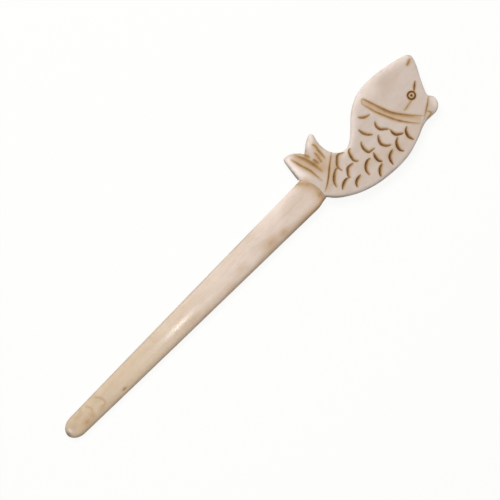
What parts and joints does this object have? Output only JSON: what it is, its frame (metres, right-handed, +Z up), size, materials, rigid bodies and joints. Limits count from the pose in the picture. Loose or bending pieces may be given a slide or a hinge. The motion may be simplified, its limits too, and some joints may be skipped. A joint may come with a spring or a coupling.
{
  "type": "bone folder",
  "caption": "Slim tapering bone folder with a rounded creasing blade and a flat carved fish at its end, its cuts filled with brown stain.",
  "frame": {"origin": "on the surface the folder lies on, under the middle of its length and width", "axes": "+X along the blade towards the fish's nose, +Y towards the fish's back and tail tips, +Z up out of the carved face"},
  "size_m": [0.18, 0.0306, 0.0056],
  "materials": {
    "blade_bone": "satin",
    "fish_bone": "satin",
    "bamboo": "matte",
    "brown_stain": "matte"
  },
  "bodies": {
    "root": {"blade": "blade_bone", "fish_finial": "fish_bone", "joint_peg": "bamboo", "scale_pigment": "brown_stain", "gill_pigment": "brown_stain", "tail_ray_pigment": "brown_stain", "tail_band_pigment": "brown_stain", "eye_pigment": "brown_stain", "mouth_pigment": "brown_stain", "fin_pigment": "brown_stain"}
  },
  "joints": []
}
